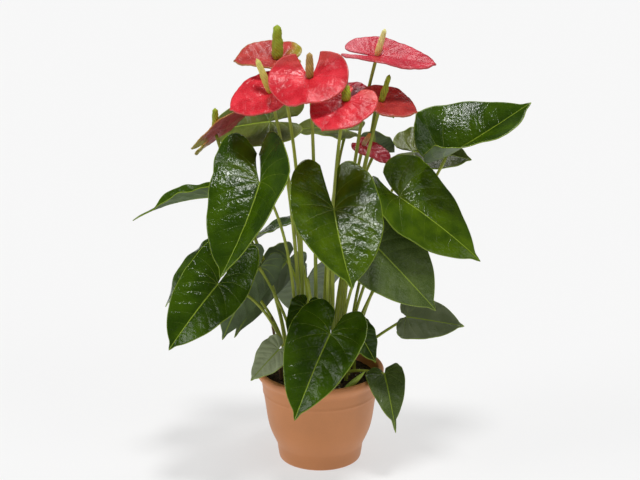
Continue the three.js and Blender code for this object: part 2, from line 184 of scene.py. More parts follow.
@dataclass
class Flower(Leaf):
    """A flower's place and spathe are given as a leaf's are.

    Its spadix is (length, thickness, heading, pitch). It tapers by `taper`, is lumpy by `lumps` and bows
    sideways by `bow`, and `spike` is its finish.
    """

    droop: float = 10
    arch: float = 5
    fold: float = 8
    cup: float = -6
    arrive: float = 75
    tip: float = 0.03
    sinus: float = 12
    lumps: float = 0.12
    taper: float = 0.7
    bow: float = 0
    spadix: tuple = (30, 8, 90, -85)
    finish: str = "coral"
    spike: str = "yellow"


FLOWERS = [
    Flower("top_left", azimuth=168, out=-30, up=412, heading=178, pitch=-3, length=56, width=76,
           roll=16, arch=-25, fold=16, finish="fading", lumps=0.2, bow=3, spadix=(44, 14, 90, -87),
           spike="green"),
    Flower("left", azimuth=-147, out=-12, up=381, heading=-160, pitch=12, length=56, width=74, roll=22,
           fold=12, pinch=20, foot=-10, bow=-2, spadix=(47, 9, 170, -68)),
    Flower("centre_top", azimuth=-102, out=-24, up=404, heading=-95, pitch=15, length=55, width=100,
           roll=-8, arch=-80, fold=16, pinch=40, lobe=1.2, sinus=26, lumps=0.16,
           spadix=(32, 10, 90, -85), spike="ochre"),
    Flower("top_right", azimuth=8, out=-13, up=417, heading=-10, pitch=2, length=76, width=76, roll=-12,
           fold=17, pinch=15, finish="pink", spadix=(36, 8, 30, -70), spike="cream"),
    Flower("centre_front", azimuth=-67, out=-4, up=379, heading=-122, pitch=20, length=60, width=80,
           roll=8, fold=5, cup=-15, arrive=64, foot=13, lumps=0.35, spadix=(20, 11, 90, -80),
           spike="green"),
    Flower("right", azimuth=-15, out=-6, up=365, heading=-25, pitch=5, length=50, width=66, roll=-12,
           fold=15, pinch=25, finish="dull", lumps=0.4, spadix=(36, 8, 30, -70), spike="green"),
    Flower("back", azimuth=50, out=-33, up=363, heading=5, pitch=0, length=40, width=50, roll=-15,
           foot=10, finish="crimson", spadix=(26, 6, 90, -85), spike="white"),
    Flower("small_right", azimuth=28, out=-22, up=295, heading=-25, pitch=20, length=44, width=40,
           roll=-10, lobe=0.5, finish="pink", spadix=(19, 6, 30, -55), spike="orange"),
    Flower("left_low", azimuth=169, out=52, up=312, heading=20, pitch=-35, length=66, width=50, roll=40,
           foot=6, finish="fading", lumps=0.2, spadix=(34, 9, 90, -87), spike="green"),
]

# How far the margin of a flat blade is from its junction, as a share of the length from junction to
# tip, every 22.5 degrees from the tip round to the lobe beside the sinus
MARGIN_STEP = 22.5
LEAF_MARGIN = [1, 0.79, 0.65, 0.58, 0.55, 0.56, 0.6, 0.585, 0.32]
SPATHE_MARGIN = [1, 0.91, 0.81, 0.75, 0.71, 0.69, 0.69, 0.62, 0.31]


# ---- Sizes and colours --------------------------------------------------------------------------
def size_prop(name, description, default):
    return FloatProperty(name=name, description=description, default=default, min=0, unit="LENGTH")


def strength_prop(name, description, default):
    return FloatProperty(name=name, description=description, default=default, min=0)


def count_prop(name, description, default):
    return IntProperty(name=name, description=description, default=default, min=0)


def colour_prop(name, description, default):
    return FloatVectorProperty(
        name=name, description=description, default=default, size=3, min=0, max=1, subtype="COLOR")


class AnthuriumPot(bpy.types.PropertyGroup):
    height: size_prop("Height", "Height of the pot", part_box("pot")[1].z)
    rim_radius: size_prop("Rim radius", "Outside radius of the rim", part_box("pot")[1].x)
    wall: size_prop("Wall", "Thickness of the wall", 3 * MM)
    lip: size_prop("Lip", "Width of the flat lip, inwards from the rim", 7.5 * MM)
    ridge: size_prop("Ridge", "How far the two moulded ridges stand out", 1.1 * MM)
    plastic: colour_prop("Plastic", "Colour of the plastic", (0.66, 0.258, 0.088))


class AnthuriumSoil(bpy.types.PropertyGroup):
    unevenness: size_prop("Unevenness", "How far the surface rises and falls", 3.5 * MM)
    crumbs: count_prop("Crumbs", "Loose crumbs of soil and bark", 900)
    grains: count_prop("Grains", "White mineral grains in the soil", 26)
    earth: colour_prop("Earth", "Colour of the damp soil", (0.018, 0.012, 0.008))
    bark: colour_prop("Bark", "Colour of the drier bark bits", (0.085, 0.05, 0.027))


class AnthuriumLeaves(bpy.types.PropertyGroup):
    thickness: size_prop("Thickness", "Thickness of a blade", 1.3 * MM)
    vein_depth: size_prop("Vein depth", "How far the veins are sunk in the blade", 0.3 * MM)
    pucker: size_prop("Pucker", "How far the blade bulges between its veins", 0.3 * MM)
    crinkle: size_prop("Crinkle", "How far the blade crinkles", 0.5 * MM)
    wave: size_prop("Wave", "How far the margin waves up and down", 1.6 * MM)
    vein_width: size_prop("Vein width", "Width of a side vein", 0.65 * MM)
    vein: colour_prop("Vein", "Colour of the veins and the margin", (0.29, 0.40, 0.035))
    underside: colour_prop("Underside", "Colour of the underside", (0.13, 0.19, 0.075))


class AnthuriumStalks(bpy.types.PropertyGroup):
    leaf_stalk: size_prop("Leaf stalk", "Diameter of a leaf stalk", 4.2 * MM)
    flower_stem: size_prop("Flower stem", "Diameter of a flower stem", 4.8 * MM)
    green: colour_prop("Green", "Colour of the stalks", (0.42, 0.47, 0.065))
    shade: colour_prop("Shade", "Colour of the older, darker stalks", (0.25, 0.31, 0.03))


class AnthuriumFlowers(bpy.types.PropertyGroup):
    thickness: size_prop("Thickness", "Thickness of a spathe", 1.9 * MM)
    pucker: size_prop("Pucker", "How far the spathe is puckered", 0.8 * MM)
    wave: size_prop("Wave", "How far the margin waves up and down", 1.2 * MM)
    pebble: size_prop("Pebble", "Distance between the tiny flowers on a spadix", 2.6 * MM)
    pebble_height: size_prop("Pebble height", "How far the tiny flowers stand out", 0.95 * MM)


class AnthuriumShoots(bpy.types.PropertyGroup):
    shoot_length: size_prop("Shoot length", "Length of the rolled young shoot", 40 * MM)
    shoot_width: size_prop("Shoot width", "Width of the rolled young shoot", 8 * MM)
    young: colour_prop("Young", "Colour of the young shoot", (0.42, 0.54, 0.09))
    young_shade: colour_prop("Young shade", "Darker colour of the young shoot", (0.25, 0.36, 0.045))
    stump_length: size_prop("Stump length", "Length of the dry stump", 90 * MM)
    stump_width: size_prop("Stump width", "Width of the dry stump", 4 * MM)
    dry: colour_prop("Dry", "Colour of the dry stump", (0.22, 0.12, 0.05))
    dry_shade: colour_prop("Dry shade", "Darker colour of the dry stump", (0.09, 0.042, 0.016))


class AnthuriumStage(bpy.types.PropertyGroup):
    lens: FloatProperty(
        name="Lens", description="Focal length of the camera", default=95, min=1, unit="CAMERA")
    distance: size_prop("Distance", "Level distance from the camera to the pot", 2.0816)
    eye_height: size_prop("Eye height", "Height of the camera", 0.9869)
    look_down: FloatProperty(
        name="Look down", description="How far the camera is tilted down", default=math.radians(18.173),
        subtype="ANGLE")
    floor: colour_prop("Floor", "Colour of the floor", (0.3, 0.3, 0.3))
    glow: strength_prop("Glow", "Light that the floor gives by itself", 0.6)
    daylight: strength_prop("Daylight", "Brightness all round", 0.12)
    top: strength_prop("Top light", "Strength of the light from above", 1.9)
    fill: strength_prop("Fill light", "Strength of the lights from the sides and the back", 0.8)


# ---- Curves and blades --------------------------------------------------------------------------
def direction(heading, pitch):
    """The unit vector at a heading round from +X and a pitch below the horizontal, in degrees."""
    level = math.cos(math.radians(pitch))
    turn = math.radians(heading)
    return Vector((math.cos(turn) * level, math.sin(turn) * level, -math.sin(math.radians(pitch))))


def arc(bend, run, slope=0.0):
    """Where a run ends, forward and up, when it starts at a slope and bends evenly."""
    if abs(bend) < STRAIGHT:
        return run * math.cos(slope), run * math.sin(slope)
    end = slope + bend * run
    return (math.sin(end) - math.sin(slope)) / bend, (math.cos(slope) - math.cos(end)) / bend


def smooth(values, place):
    """The value at a place along evenly spaced values, on a smooth curve through them all."""
    i = max(0, min(int(place), len(values) - 2))
    t = place - i
    p1, p2 = values[i], values[i + 1]
    p0 = values[i - 1] if i > 0 else 2 * p1 - p2
    p3 = values[i + 2] if i + 2 < len(values) else 2 * p2 - p1
    return p1 + t * (p2 - p0 + t * (2 * p0 - 5 * p1 + 4 * p2 - p3 + t * (3 * (p1 - p2) + p3 - p0))) / 2


def bump(distance, width):
    """1 at no distance, falling smoothly away over a width."""
    return math.exp(-((distance / width) ** 2))


def fade(low, high, value):
    """0 up to low, 1 from high on, and smooth between."""
    t = max(0.0, min(1.0, (value - low) / (high - low)))
    return t * t * (3 - 2 * t)


class Blade:
    """The flat outline of a leaf or spathe, and how it bends."""

    DRIP_TIP = 2.2  # degrees that the drip tip takes up
    SWEEP = 0.14, 0.2  # how far a side vein sweeps forward, evenly and towards the margin

    def __init__(self, plant, margin, settings, seed, vein_gap, basal_turn):
        pot = bpy.context.scene.anthurium_pot
        self.plant, self.margin, self.settings, self.seed = plant, margin, settings, seed
        self.vein_gap, self.basal_turn = vein_gap, math.radians(basal_turn)
        self.length, self.width = plant.length * MM, plant.width * MM
        around = math.radians(plant.azimuth)
        reach = pot.rim_radius + plant.out * MM
        level = pot.height + plant.up * MM
        self.at = Vector((reach * math.cos(around), reach * math.sin(around), level))
        self.along = direction(plant.heading, plant.pitch)
        turned = Quaternion(self.along, math.radians(-plant.roll))
        self.across = turned @ direction(plant.heading - 90, 0)
        self.up = self.across.cross(self.along)
        turns = [step * MARGIN_STEP for step in range(len(margin) - 1)] + [180 - plant.sinus]
        self.widest = max(self.radius(turn) * math.sin(math.radians(turn)) for turn in turns)

    def radius(self, turn):
        """How far the margin is from the junction, as a share of the length."""
        tip = self.plant.tip
        body = smooth(self.margin, abs(turn) / MARGIN_STEP)
        return body * (1 - tip) + tip * bump(turn, self.DRIP_TIP)

    def flat(self, turn, ring):
        """Across and along, on the flat blade, in metres."""
        radius = self.radius(turn) * ring
        x = self.width / 2 * radius * math.sin(math.radians(turn)) / self.widest
        y = self.length * radius * math.cos(math.radians(turn))
        return x, y * self.plant.lobe if y < 0 else y

    def bent(self, x, y, lift=0.0):
        """Where a point of the flat blade is once the blade is folded, cupped, twisted and drooped."""
        plant = self.plant
        fold = plant.fold - plant.pinch * y / self.length
        reach, rise = arc(math.radians(plant.cup) / (self.width / 2), abs(x), math.radians(fold))
        twist = math.radians(plant.twist) * y / self.length
        side = math.copysign(reach, x)
        sideways = plant.sway * (y / self.length) ** 2 if y >= 0 else plant.lean * -2 * y / self.length
        across = side * math.cos(twist) - rise * math.sin(twist) + sideways * MM
        height = side * math.sin(twist) + rise * math.cos(twist) + lift
        bend = math.radians(plant.droop if y >= 0 else plant.arch) / self.length
        forward, drop = arc(-bend, abs(y))
        slope = bend * y
        return (self.at + self.along * (math.copysign(forward, y) + math.sin(slope) * height)
                + self.up * (drop + math.cos(slope) * height) + self.across * across)

    def side_vein(self, x, y):
        """The count of side veins up to here from the junction, and the distance between them.

        Above the first side vein they follow each other along the midrib. Below it they fan out from
        the junction, and their count is negative.
        """
        half = self.width / 2

        def sweep(share):
            return self.SWEEP[0] * share + self.SWEEP[1] * share * share

        beyond = y / self.length - sweep(abs(x) / half)
        if beyond > 0:
            return beyond / self.vein_gap, self.vein_gap * self.length
        radius = max(math.hypot(x, y), 1e-6)
        first = 0.5
        for _ in range(3):
            share = min(1.0, radius * math.sin(first) / half)
            first = math.atan2(share * half, sweep(share) * self.length)
        turn = max(0.0, math.atan2(abs(x), y) - first) * (1 + 0.35 * radius / half)
        return -turn / self.basal_turn, self.basal_turn * radius


def curve_frames(points):
    """Each point of a path with its direction and a steady pair of directions across it."""
    frames = []
    forward = (points[1] - points[0]).normalized()
    side = forward.orthogonal().normalized()
    for i, point in enumerate(points):
        ahead = (points[min(i + 1, len(points) - 1)] - points[max(i - 1, 0)]).normalized()
        side = (forward.rotation_difference(ahead) @ side).normalized()
        forward = ahead
        frames.append((point, forward, side, forward.cross(side)))
    return frames


# ---- Meshes -------------------------------------------------------------------------------------
def sheet(columns, rows, place, maps=()):
    """A grid of faces with each corner moved to its place, and what that corner's UV maps say."""
    mesh = bmesh.new()
    bmesh.ops.create_grid(mesh, x_segments=columns, y_segments=rows, size=0.5)
    layers = [mesh.loops.layers.uv.new(name) for name in maps]
    said = {}
    for vert in mesh.verts:
        vert.co, *said[vert] = place(vert.co.x + 0.5, vert.co.y + 0.5)
    for face in mesh.faces:
        face.smooth = True
        for corner in face.loops:
            for layer, value in zip(layers, said[corner.vert]):
                corner[layer].uv = value
    return mesh


def close_up(mesh, reach=1e-6):
    """Joins the corners that meet at seams and poles, and turns the faces outwards."""
    bmesh.ops.remove_doubles(mesh, verts=mesh.verts, dist=reach)
    open_edges = [edge for edge in mesh.edges if edge.is_boundary]
    if open_edges:
        bmesh.ops.holes_fill(mesh, edges=open_edges, sides=0)
    bmesh.ops.recalc_face_normals(mesh, faces=mesh.faces)


def add_piece(name, mesh, materials, node):
    """The finished mesh as a piece of the plant that stands for a node of the frame."""
    data = bpy.data.meshes.new(name)
    mesh.to_mesh(data)
    mesh.free()
    for material in materials:
        data.materials.append(material)
    piece = bpy.data.objects.new(name, data)
    bpy.context.scene.collection.objects.link(piece)
    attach(piece, "root")
    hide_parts(node)
    return piece


def tube(points, radius, sides):
    """A closed tube along a path; radius is a function of the share of the way along."""
    frames = curve_frames(points)
    rows = len(points) - 1

    def place(u, v):
        point, _, side, other = frames[round(v * rows)]
        turn = 2 * math.pi * u
        spot = point + (side * math.cos(turn) + other * math.sin(turn)) * radius(v)
        return spot, (u, v)

    mesh = sheet(sides, rows, place, ["length"])
    close_up(mesh)
    return mesh


# ---- Shading ------------------------------------------------------------------------------------
def add_node(tree, kind, inputs=None, **settings):
    """A shader node, with its settings, and its inputs by name or number: values or other sockets."""
    made = tree.nodes.new(kind)
    for name, value in settings.items():
        setattr(made, name, value)
    for name, value in (inputs or {}).items():
        if isinstance(value, bpy.types.NodeSocket):
            tree.links.new(value, made.inputs[name])
        else:
            made.inputs[name].default_value = value
    return made


def math_node(tree, operation, *values):
    """The outcome of a sum on sockets and numbers."""
    return add_node(tree, "ShaderNodeMath", dict(enumerate(values)), operation=operation).outputs[0]


def span(tree, value, low, high, to_low=0.0, to_high=1.0):
    """Takes a value from one range to another, smoothly and within limits."""
    inputs = {"Value": value, "From Min": low, "From Max": high, "To Min": to_low, "To Max": to_high}
    ranged = add_node(tree, "ShaderNodeMapRange", inputs, interpolation_type="SMOOTHSTEP")
    return ranged.outputs["Result"]


def blend(tree, amount, low, high):
    """Mixes two colours: a colour is a socket or three numbers."""
    low, high = (c if isinstance(c, bpy.types.NodeSocket) else (*c, 1) for c in (low, high))
    inputs = {0: amount, 6: low, 7: high}
    return add_node(tree, "ShaderNodeMix", inputs, data_type="RGBA").outputs[2]


def new_group(name, inputs, outputs):
    """An empty node group with its sockets, and its input and output nodes."""
    tree = bpy.data.node_groups.new(name, "ShaderNodeTree")
    for socket, default in inputs.items():
        made = tree.interface.new_socket(socket, in_out="INPUT", socket_type="NodeSocketFloat")
        made.default_value = default
    for socket in outputs:
        tree.interface.new_socket(socket, in_out="OUTPUT", socket_type="NodeSocketFloat")
    return tree, tree.nodes.new("NodeGroupInput").outputs, tree.nodes.new("NodeGroupOutput").inputs


def use_group(tree, name, **values):
    """A group placed in a material with its own values."""
    made = tree.nodes.new("ShaderNodeGroup")
    made.node_tree = bpy.data.node_groups[name]
    for socket, value in values.items():
        made.inputs[socket.replace("_", " ")].default_value = value
    return made.outputs


def make_mottle_group():
    """Soft patches and fine speckle that follow the object."""
    tree, given, result = new_group("mottle", {"Scale": 40, "Detail": 4}, ["Patches", "Speckle"])
    where = add_node(tree, "ShaderNodeTexCoord").outputs["Object"]

    def spots(scale, detail):
        inputs = {"Vector": where, "Scale": scale, "Detail": detail, "W": 0}
        return add_node(tree, "ShaderNodeTexNoise", inputs, noise_dimensions="4D").outputs["Fac"]

    tree.links.new(span(tree, spots(given["Scale"], given["Detail"]), 0.32, 0.68), result["Patches"])
    tree.links.new(span(tree, spots(700, 2), 0.35, 0.65), result["Speckle"])


def make_vein_group():
    """The midrib, the side veins and the margin of a blade, from what its UV maps say."""
    tree, given, result = new_group(
        "veins", {"Vein Width": 0.8 * MM, "Midrib Width": 1.9 * MM, "Margin Width": 1.0 * MM,
                  "Upper Veins": 0.35},
        ["Midrib", "Side Veins", "Margin"])

    def said(name):
        spot = add_node(tree, "ShaderNodeUVMap", uv_map=name).outputs["UV"]
        return add_node(tree, "ShaderNodeSeparateXYZ", {0: spot}).outputs

    flat, veins, margin = said("flat"), said("veins"), said("margin")
    ring = margin["Y"]
    thinning = math_node(tree, "SUBTRACT", 1.1, math_node(tree, "MULTIPLY", ring, 0.75))
    midrib_width = math_node(tree, "MULTIPLY", given["Midrib Width"], thinning)
    distance = math_node(tree, "ABSOLUTE", flat["X"])
    midrib = span(tree, math_node(tree, "DIVIDE", distance, midrib_width), 0.25, 0.75, 1, 0)
    forward = span(tree, flat["Y"], -2 * MM, 0)
    tree.links.new(math_node(tree, "MULTIPLY", midrib, forward), result["Midrib"])
    distance = math_node(tree, "MULTIPLY", math_node(tree, "PINGPONG", veins["X"], 0.5), veins["Y"])
    vein_width = math_node(tree, "MULTIPLY", given["Vein Width"], thinning)
    side = span(tree, math_node(tree, "DIVIDE", distance, vein_width), 0.25, 1.0, 1, 0)
    side = math_node(tree, "MULTIPLY", side, span(tree, ring, 0.8, 0.97, 1, 0.15))
    basal = span(tree, veins["X"], -0.5, 0.8, 1, given["Upper Veins"])
    tree.links.new(math_node(tree, "MULTIPLY", side, basal), result["Side Veins"])
    edge = span(tree, math_node(tree, "DIVIDE", margin["X"], given["Margin Width"]), 0.5, 1.1, 1, 0)
    tree.links.new(edge, result["Margin"])


def new_material(name):
    """An empty material with its shader and output, ready for nodes."""
    material = bpy.data.materials.new(name)
    material.use_nodes = True
    tree = material.node_tree
    tree.nodes.clear()
    shader = add_node(tree, "ShaderNodeBsdfPrincipled")
    add_node(tree, "ShaderNodeOutputMaterial", {"Surface": shader.outputs["BSDF"]})
    return material, tree, shader


def relief(tree, shader, height, amount, distance):
    """Fine relief: the height, how much of it shows, and how far it stands out."""
    inputs = {"Height": height, "Strength": amount, "Distance": distance}
    tree.links.new(add_node(tree, "ShaderNodeBump", inputs).outputs["Normal"], shader.inputs["Normal"])


def waxy(tree, shader, speckle, roughness, shine):
    """A waxy surface whose gloss varies a little from spot to spot."""
    uneven = span(tree, speckle, 0, 1, roughness - 0.06, roughness + 0.08)
    tree.links.new(uneven, shader.inputs["Roughness"])
    shader.inputs["Specular IOR Level"].default_value = shine


def paint(tree, body, marks):
    """A colour with marks over it, each a mask, how strongly it shows, and its own colour."""
    for mask, share, own in marks:
        body = blend(tree, math_node(tree, "MULTIPLY", mask, share), body, own)
    return body


# The satin finish and the greyer finish after it have greyish pale greens that are painted sheen: the
# white these leaves reflect, put into their colour
# name: (darker colour, lighter colour, roughness, shine)
LEAF_FINISHES = {
    "mature": ((0.020, 0.050, 0.0003), (0.048, 0.101, 0.0006), 0.15, 0.28),
    "bright": ((0.030, 0.066, 0.0003), (0.078, 0.140, 0.0006), 0.15, 0.3),
    "satin": ((0.060, 0.096, 0.018), (0.110, 0.158, 0.038), 0.24, 0.3),
    "painted_sheen": ((0.125, 0.155, 0.070), (0.200, 0.235, 0.125), 0.4, 0.25),
    "grey": ((0.340, 0.390, 0.220), (0.480, 0.540, 0.330), 0.5, 0.2),
    "pale": ((0.055, 0.082, 0.008), (0.125, 0.150, 0.022), 0.34, 0.35),
}


def make_leaf_material(name, dark, light, roughness, shine, settings):
    """Waxy leaf skin: mottled, finely crinkled, with paler veins and a paler margin."""
    material, tree, shader = new_material(name)
    mottle = use_group(tree, "mottle", Scale=35, Detail=5)
    veins = use_group(tree, "veins", Vein_Width=settings.vein_width, Midrib_Width=1.9 * MM)
    body = blend(tree, mottle["Patches"], dark, light)
    body = blend(tree, span(tree, mottle["Speckle"], 0, 1, 0, 0.12), body, light)
    body = paint(tree, body, [(veins["Side Veins"], 0.36, settings.vein),
                              (veins["Midrib"], 0.9, settings.vein),
                              (veins["Margin"], 0.7, settings.vein)])
    tree.links.new(body, shader.inputs["Base Color"])
    waxy(tree, shader, mottle["Speckle"], roughness, shine)
    lines = math_node(tree, "MAXIMUM", veins["Side Veins"], veins["Midrib"])
    sunk = math_node(tree, "MULTIPLY", lines, -0.6)
    crinkled = use_group(tree, "mottle", Scale=240, Detail=3.5)["Patches"]
    relief(tree, shader, math_node(tree, "ADD", sunk, crinkled), 0.9, 0.3 * MM)
    return material


def make_underside_material(settings):
    """The matt underside of a leaf, with its veins standing out."""
    material, tree, shader = new_material("leaf underside")
    mottle = use_group(tree, "mottle", Scale=50, Detail=4)
    veins = use_group(tree, "veins", Vein_Width=1.1 * MM, Midrib_Width=3 * MM)
    darker = tuple(0.62 * c for c in settings.underside)
    body = blend(tree, mottle["Patches"], darker, settings.underside)
    fainter = math_node(tree, "MULTIPLY", veins["Side Veins"], 0.5)
    ridges = math_node(tree, "MAXIMUM", fainter, veins["Midrib"])
    body = paint(tree, body, [(ridges, 0.75, settings.vein)])
    tree.links.new(body, shader.inputs["Base Color"])
    shader.inputs["Roughness"].default_value = 0.55
    relief(tree, shader, math_node(tree, "ADD", ridges, mottle["Speckle"]), 0.4, 0.3 * MM)
    return material


# name: (darker colour, lighter colour, margin colour, colour of the lobes: partly their own tint, and on
# the pink finish a paler pink that is painted highlight)
SPATHE_FINISHES = {
    "coral": ((0.62, 0.014, 0.027), (0.88, 0.042, 0.062), (0.66, 0.10, 0.08), (0.84, 0.095, 0.085)),
    "pink": ((0.50, 0.014, 0.034), (0.68, 0.036, 0.064), (0.54, 0.10, 0.10), (0.72, 0.15, 0.18)),
    "dull": ((0.42, 0.026, 0.024), (0.60, 0.060, 0.050), (0.42, 0.16, 0.07), (0.52, 0.075, 0.060)),
    "fading": ((0.42, 0.030, 0.028), (0.60, 0.068, 0.058), (0.38, 0.26, 0.05), (0.42, 0.40, 0.035)),
    "crimson": ((0.26, 0.002, 0.010), (0.42, 0.005, 0.022), (0.36, 0.02, 0.03), (0.42, 0.008, 0.03)),
}


def make_spathe_material(name, dark, light, rim, lobes, roughness, shine):
    """Waxy spathe: mottled and puckered, with darker veins, its own colour at the rim, and a colour at
    the lobes that is partly their own tint and partly painted highlight.
    """
    material, tree, shader = new_material(name)
    mottle = use_group(tree, "mottle", Scale=55, Detail=5)
    veins = use_group(tree, "veins", Vein_Width=1.2 * MM, Midrib_Width=1.6 * MM, Margin_Width=1.4 * MM)
    body = blend(tree, mottle["Patches"], dark, light)
    place = add_node(tree, "ShaderNodeUVMap", uv_map="flat").outputs["UV"]
    forward = add_node(tree, "ShaderNodeSeparateXYZ", {0: place}).outputs["Y"]
    forward = math_node(tree, "ADD", forward, math_node(tree, "MULTIPLY", mottle["Patches"], 8 * MM))
    # The lobes take their colour: a real tint on most finishes, and a painted highlight where it is
    # paler, as on the pink finish
    body = blend(tree, span(tree, forward, -24 * MM, -6 * MM, 0.9, 0), body, lobes)
    lines = math_node(tree, "MAXIMUM", veins["Side Veins"], veins["Midrib"])
    body = paint(tree, body, [(lines, 0.22, dark), (veins["Margin"], 0.6, rim)])
    tree.links.new(body, shader.inputs["Base Color"])
    waxy(tree, shader, mottle["Speckle"], roughness, shine)
    puckered = use_group(tree, "mottle", Scale=260, Detail=3)["Patches"]
    relief(tree, shader, math_node(tree, "SUBTRACT", puckered, lines), 0.8, 0.35 * MM)
    return material


# name: (colour at the foot, colour at the tip, colour of the painted shade between the tiny flowers)
SPADIX_FINISHES = {
    "yellow": ((0.76, 0.54, 0.085), (0.92, 0.85, 0.24), (0.51, 0.44, 0.061)),
    "green": ((0.46, 0.44, 0.015), (0.46, 0.56, 0.019), (0.16, 0.26, 0.006)),
    "ochre": ((0.49, 0.27, 0.049), (0.63, 0.40, 0.11), (0.22, 0.13, 0.024)),
    "cream": ((0.90, 0.61, 0.21), (0.92, 0.90, 0.37), (0.66, 0.49, 0.15)),
    "white": ((0.85, 0.59, 0.30), (0.88, 0.81, 0.63), (0.51, 0.40, 0.27)),
    "orange": ((0.76, 0.63, 0.37), (0.81, 0.32, 0.024), (0.49, 0.24, 0.061)),
}


def make_spadix_material(name, foot, tip, gap_shade):
    """A spadix that changes colour along its length, with painted shade in the hollows between its tiny
    flowers.
    """
    material, tree, shader = new_material(name)
    place = add_node(tree, "ShaderNodeUVMap", uv_map="length").outputs["UV"]
    along = add_node(tree, "ShaderNodeSeparateXYZ", {0: place}).outputs["Y"]
    lattice = add_node(tree, "ShaderNodeUVMap", uv_map="pebbles").outputs["UV"]
    spirals = add_node(tree, "ShaderNodeSeparateXYZ", {0: lattice}).outputs
    height = math_node(tree, "ADD", math_node(tree, "PINGPONG", spirals["X"], 0.5),
                       math_node(tree, "PINGPONG", spirals["Y"], 0.5))
    mottle = use_group(tree, "mottle", Scale=120, Detail=3)
    body = blend(tree, span(tree, along, 0.1, 0.95), foot, tip)
    # Random patches take a little of the darker colour too
    body = blend(tree, span(tree, mottle["Patches"], 0, 1, 0, 0.3), body, gap_shade)
    # Painted shade: the hollows between the tiny flowers take the darker colour
    body = blend(tree, span(tree, height, 0.4, 0.85, 0, 0.85), body, gap_shade)
    tree.links.new(body, shader.inputs["Base Color"])
    shader.inputs["Roughness"].default_value = 0.55
    relief(tree, shader, mottle["Speckle"], 0.2, 0.2 * MM)
    return material


def make_stalk_material(name, green, shade, ground, height):
    """Green towards the top and paler at the foot, with fine streaks along the stalk."""
    material, tree, shader = new_material(name)
    where = add_node(tree, "ShaderNodeTexCoord").outputs["Object"]
    rise = add_node(tree, "ShaderNodeSeparateXYZ", {0: where}).outputs["Z"]
    long_way = add_node(tree, "ShaderNodeMapping", {"Vector": where, "Scale": (1, 1, 0.08)}).outputs[0]
    streaks = add_node(tree, "ShaderNodeTexNoise", {"Vector": long_way, "Scale": 520, "Detail": 3.0})
    mottle = use_group(tree, "mottle", Scale=30, Detail=3)
    body = blend(tree, mottle["Patches"], shade, green)
    body = blend(tree, span(tree, streaks.outputs["Fac"], 0.35, 0.65, 0, 0.35), body, shade)
    pale = tuple(1.3 * c for c in green)
    body = blend(tree, span(tree, rise, ground, ground + height, 0.55, 0), body, pale)
    tree.links.new(body, shader.inputs["Base Color"])
    shader.inputs["Roughness"].default_value = 0.4
    shader.inputs["Specular IOR Level"].default_value = 0.25
    relief(tree, shader, streaks.outputs["Fac"], 0.25, 0.2 * MM)
    return material


def make_plastic_material(settings):
    """Satin moulded plastic: faint flow marks and dust, and a paler lip."""
    material, tree, shader = new_material("pot plastic")
    where = add_node(tree, "ShaderNodeTexCoord").outputs["Object"]
    mottle = use_group(tree, "mottle", Scale=14, Detail=6)
    darker = tuple(0.9 * c for c in settings.plastic)
    paler = tuple(min(1, 1.22 * c + 0.015) for c in settings.plastic)
    body = blend(tree, mottle["Patches"], darker, settings.plastic)
    rise = add_node(tree, "ShaderNodeSeparateXYZ", {0: where}).outputs["Z"]
    at_lip = span(tree, rise, settings.height - 3 * MM, settings.height, 0, 0.55)
    body = blend(tree, at_lip, body, paler)
    body = blend(tree, span(tree, mottle["Speckle"], 0, 1, 0, 0.1), body, paler)
    tree.links.new(body, shader.inputs["Base Color"])
    tree.links.new(span(tree, mottle["Speckle"], 0, 1, 0.4, 0.5), shader.inputs["Roughness"])
    relief(tree, shader, mottle["Speckle"], 0.06, 0.05 * MM)
    return material


def make_crumbly_material(name, dark, light, roughness=0.95):
    """Soil, bark or mineral grain: uneven colour and a rough, broken surface."""
    material, tree, shader = new_material(name)
    mottle = use_group(tree, "mottle", Scale=180, Detail=6)
    body = blend(tree, mottle["Patches"], dark, light)
    body = blend(tree, span(tree, mottle["Speckle"], 0.4, 1, 0, 0.4), body, light)
    tree.links.new(body, shader.inputs["Base Color"])
    shader.inputs["Roughness"].default_value = roughness
    relief(tree, shader, math_node(tree, "ADD", mottle["Patches"], mottle["Speckle"]), 0.8, 0.8 * MM)
    return material


# ---- Pot and soil -------------------------------------------------------------------------------
BASE_RADIUS = 55 * MM
FOOT_RADIUS, FOOT_HEIGHT = 57.5 * MM, 20 * MM
SHOULDER_RADIUS, SHOULDER_HEIGHT = 74 * MM, 84 * MM
RIDGE_HEIGHTS = 95 * MM, 112.4 * MM
RIDGE_WIDTH = 1.1 * MM
BAND_HEIGHT = 14 * MM  # the plain band under the lip
ROLL_HEIGHT, ROLL_DEPTH = 4 * MM, 3.2 * MM  # the rounded outer edge of the lip


